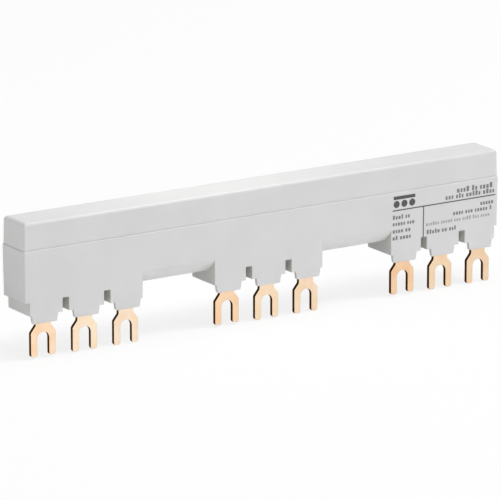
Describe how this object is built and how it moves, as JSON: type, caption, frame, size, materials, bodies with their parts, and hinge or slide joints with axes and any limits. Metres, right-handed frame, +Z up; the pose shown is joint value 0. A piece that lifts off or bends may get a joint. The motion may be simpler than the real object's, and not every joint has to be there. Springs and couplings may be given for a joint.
{
  "type": "three-phase comb busbar",
  "caption": "Straight insulated comb busbar: light grey moulded housing and cover over copper bars whose fork lugs reach down to the devices' terminal screws.",
  "frame": {"origin": "on the screw axis of the middle fork (device 2, phase L2), in the middle of the copper's thickness", "axes": "+X along the rail from L1 to L3, +Y from the front face back towards the rail, +Z up, forks pointing down"},
  "size_m": [0.1673, 0.0127, 0.0413],
  "materials": {
    "housing_plastic": "fine matt moulded",
    "cover_plastic": "fine matt moulded",
    "copper": "bright rolled, darker at the sheared edges",
    "separator_plastic": "natural moulded"
  },
  "bodies": {
    "root": {"comb_housing": "housing_plastic", "cover": "cover_plastic", "phase_bar_l1": "copper", "phase_bar_l2": "copper", "phase_bar_l3": "copper", "separator_l1_l2": "separator_plastic", "separator_l2_l3": "separator_plastic"}
  },
  "joints": []
}
